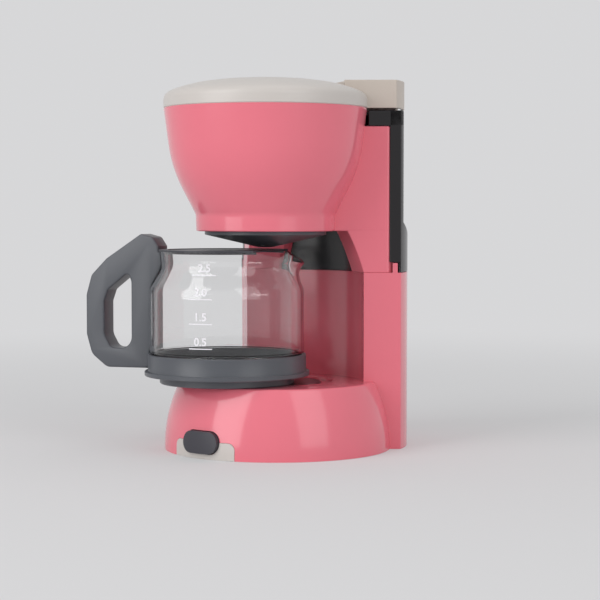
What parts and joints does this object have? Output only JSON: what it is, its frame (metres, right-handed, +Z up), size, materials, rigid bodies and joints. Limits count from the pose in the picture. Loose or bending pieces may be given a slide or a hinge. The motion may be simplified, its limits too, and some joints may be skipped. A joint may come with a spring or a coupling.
{
  "type": "toy coffee maker",
  "caption": "Pink toy drip coffee maker with a clear jug on its warming plate, a removable filter basket, a smoked water tank, a cream lid and a sprung push button.",
  "frame": {"origin": "centre of the round base, on the table", "axes": "+Z up; -Y to the front, where the push button is; +X to the right as seen from the front"},
  "size_m": [0.167, 0.1668, 0.2212],
  "materials": {
    "pink_plastic": "glossy",
    "cream_plastic": "satin",
    "grey_plastic": "satin",
    "button_grey": "satin",
    "black_plastic": "glossy",
    "smoked_clear": "clear smoked plastic",
    "jug_clear": "clear plastic",
    "lid_dark": "satin",
    "plate_dark": "satin",
    "screw_steel": "bright",
    "contact_steel": "nickel plated",
    "battery_sleeve": "satin",
    "board_green": "satin",
    "speaker_black": "matt"
  },
  "bodies": {
    "machine": {"lower_housing": "pink_plastic", "bottom_plate": "pink_plastic", "battery_cover": "pink_plastic", "battery_cover_screw": "screw_steel", "batteries": "battery_sleeve", "battery_contacts": "contact_steel", "bottom_screws": "screw_steel", "circuit_board": "board_green", "push_switch": "black_plastic", "speaker": "speaker_black", "switch_plate": "cream_plastic", "button_spring": "contact_steel", "warming_plate": "plate_dark", "upper_housing": "pink_plastic", "head_back": "pink_plastic", "head_screws": "screw_steel"},
    "button": {"power_button": "button_grey"},
    "tank": {"tank_frame": "black_plastic", "water_tank": "smoked_clear"},
    "basket": {"filter_basket": "grey_plastic"},
    "lid": {"top_lid": "cream_plastic", "lid_block": "cream_plastic"},
    "jug": {"jug_body": "jug_clear", "jug_base": "grey_plastic", "jug_handle_left": "grey_plastic", "jug_handle_right": "grey_plastic", "handle_screws": "screw_steel"},
    "jug_cover": {"jug_lid": "lid_dark"}
  },
  "joints": [
    {"name": "button_press", "type": "slide", "parent": "machine", "child": "button", "axis": [0, 1, 0], "range_m": [0, 0.0015], "stiffness_N_per_m": 300, "springref_m": -0.001, "deforming": ["button_spring"]},
    {"name": "tank_pull", "type": "slide", "parent": "machine", "child": "tank", "axis": [0, 1, 0], "range_m": [0, 0.09]},
    {"name": "basket_lift", "type": "slide", "parent": "machine", "child": "basket", "axis": [0, 0, 1], "range_m": [0, 0.095]},
    {"name": "lid_lift", "type": "slide", "parent": "basket", "child": "lid", "axis": [0, 0, 1], "range_m": [0, 0.06]},
    {"name": "jug_slide", "type": "slide", "parent": "machine", "child": "jug", "axis": [-0.518, -0.8554, 0], "range_m": [-0.0241, 0.12]},
    {"name": "jug_lid_turn", "type": "hinge", "parent": "jug", "child": "jug_cover", "pos_m": [-0.01248, -0.03161, 0.119], "axis": [0, 0, 1], "range_deg": [-60, 0]}
  ]
}
